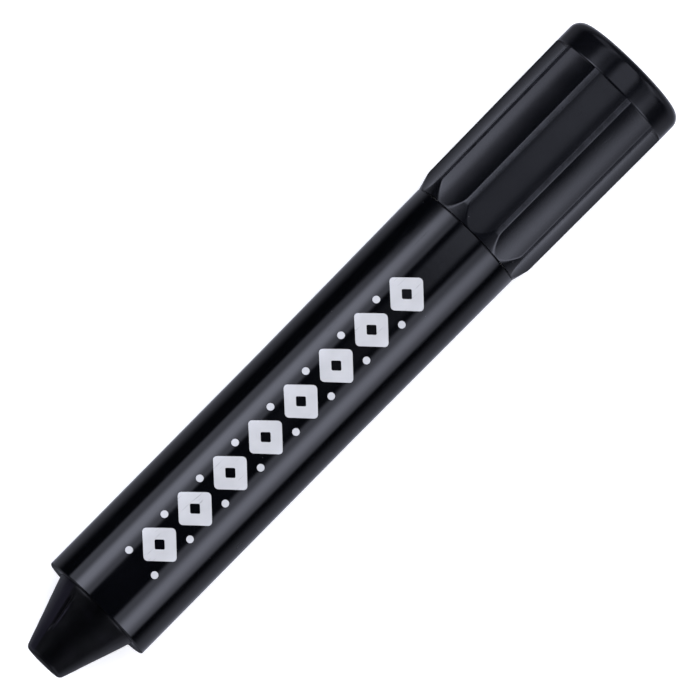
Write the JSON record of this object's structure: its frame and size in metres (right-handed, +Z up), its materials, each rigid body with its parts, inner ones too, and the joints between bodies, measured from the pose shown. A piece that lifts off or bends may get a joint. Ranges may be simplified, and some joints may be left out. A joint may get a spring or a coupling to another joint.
{
  "type": "twist-up wax crayon",
  "caption": "Twist-up wax crayon: truncated wax cone in a glossy round barrel, wound in and out by a fluted knob with a smooth domed end plug.",
  "frame": {"origin": "centre of the barrel's mouth, on the barrel's axis", "axes": "+X along the barrel's axis, out of the mouth; +Z up, through the middle of a flute, as the crayon lies on a table"},
  "size_m": [0.0921, 0.0156, 0.0156],
  "materials": {
    "barrel_gloss": "polished black moulding",
    "knob_satin": "satin black moulding",
    "wax": "smooth cast black wax",
    "sleeve_black": "black acetal, so that the seam stays dark",
    "inner_plastic": "natural acetal",
    "ring_rubber": "silicone rubber"
  },
  "bodies": {
    "barrel": {"barrel": "barrel_gloss", "guide_sleeve": "sleeve_black"},
    "knob": {"knob": "knob_satin", "spindle": "inner_plastic", "drag_ring": "ring_rubber", "end_plug": "knob_satin"},
    "crayon": {"wax_stick": "wax", "carrier": "inner_plastic"}
  },
  "joints": [
    {"name": "knob_twist", "type": "hinge", "parent": "barrel", "child": "knob", "pos_m": [-0.0577, 0, 0], "axis": [1, 0, 0], "range_deg": [-540, 2400]},
    {"name": "crayon_slide", "type": "slide", "parent": "barrel", "child": "crayon", "axis": [1, 0, 0], "range_m": [-0.009, 0.04]}
  ],
  "couplings": [
    {"joint": "crayon_slide", "follows": "knob_twist", "m_per_rad": 0.00095493}
  ]
}
